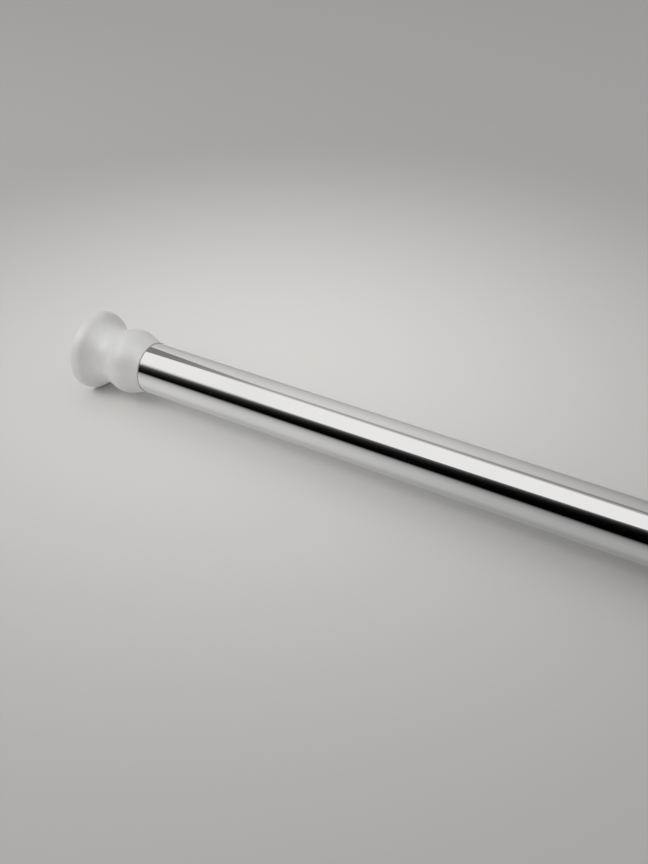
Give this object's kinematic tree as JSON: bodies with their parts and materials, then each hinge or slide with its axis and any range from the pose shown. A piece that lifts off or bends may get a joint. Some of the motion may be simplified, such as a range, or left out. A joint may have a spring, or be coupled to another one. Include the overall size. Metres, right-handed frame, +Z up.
{
  "type": "shower curtain rod",
  "caption": "Telescopic shower curtain rod with chromed tubes and soft wall feet, braced between two walls by an inner spring and locked by a twist.",
  "frame": {"origin": "centre of the outer tube foot's wall face", "axes": "+X along the rod towards the inner tube's foot, +Z up, +Y across the rod"},
  "size_m": [0.7, 0.0396, 0.0396],
  "materials": {
    "chromed_tube": "mirror polished chrome plating on steel",
    "soft_foot": "satin white moulded soft plastic",
    "white_nylon": "satin white moulded nylon",
    "grey_nylon": "satin grey moulded nylon",
    "zinc_steel": "bright zinc plated steel",
    "spring_steel": "oiled spring steel",
    "brass": "turned brass",
    "black_rubber": "matt black rubber"
  },
  "bodies": {
    "outer": {"outer_tube": "chromed_tube", "outer_foot": "soft_foot", "outer_end_plug": "grey_nylon", "guide_collar": "white_nylon"},
    "sleeve": {"expander_sleeve": "white_nylon", "friction_ring": "black_rubber"},
    "wedge": {"wedge_nut": "brass"},
    "core": {"lock_spindle": "zinc_steel", "spindle_clip": "spring_steel", "thrust_washer": "zinc_steel", "wedge_stop_washer": "zinc_steel", "wedge_stop_nut": "zinc_steel", "tail_washer": "zinc_steel", "tail_nut": "zinc_steel", "front_spring_seat": "zinc_steel", "compression_spring": "spring_steel"},
    "inner": {"inner_tube": "chromed_tube", "inner_foot": "soft_foot", "inner_end_plug": "grey_nylon", "guide_bush": "grey_nylon", "rear_spring_seat": "zinc_steel"}
  },
  "joints": [
    {"name": "telescope", "type": "slide", "parent": "outer", "child": "sleeve", "axis": [1, 0, 0], "range_m": [0, 0.45]},
    {"name": "twist", "type": "hinge", "parent": "sleeve", "child": "core", "pos_m": [0.066, 0, 0], "axis": [-1, 0, 0], "range_deg": [0, 540]},
    {"name": "wedge_travel", "type": "slide", "parent": "sleeve", "child": "wedge", "axis": [1, 0, 0], "range_m": [0, 0.0045]},
    {"name": "spring_stroke", "type": "slide", "parent": "core", "child": "inner", "axis": [1, 0, 0], "range_m": [-0.02, 0], "stiffness_N_per_m": 3600, "springref_m": 0.008, "deforming": ["compression_spring"]}
  ],
  "couplings": [
    {"joint": "wedge_travel", "follows": "twist", "m_per_rad": 0.00047746}
  ]
}
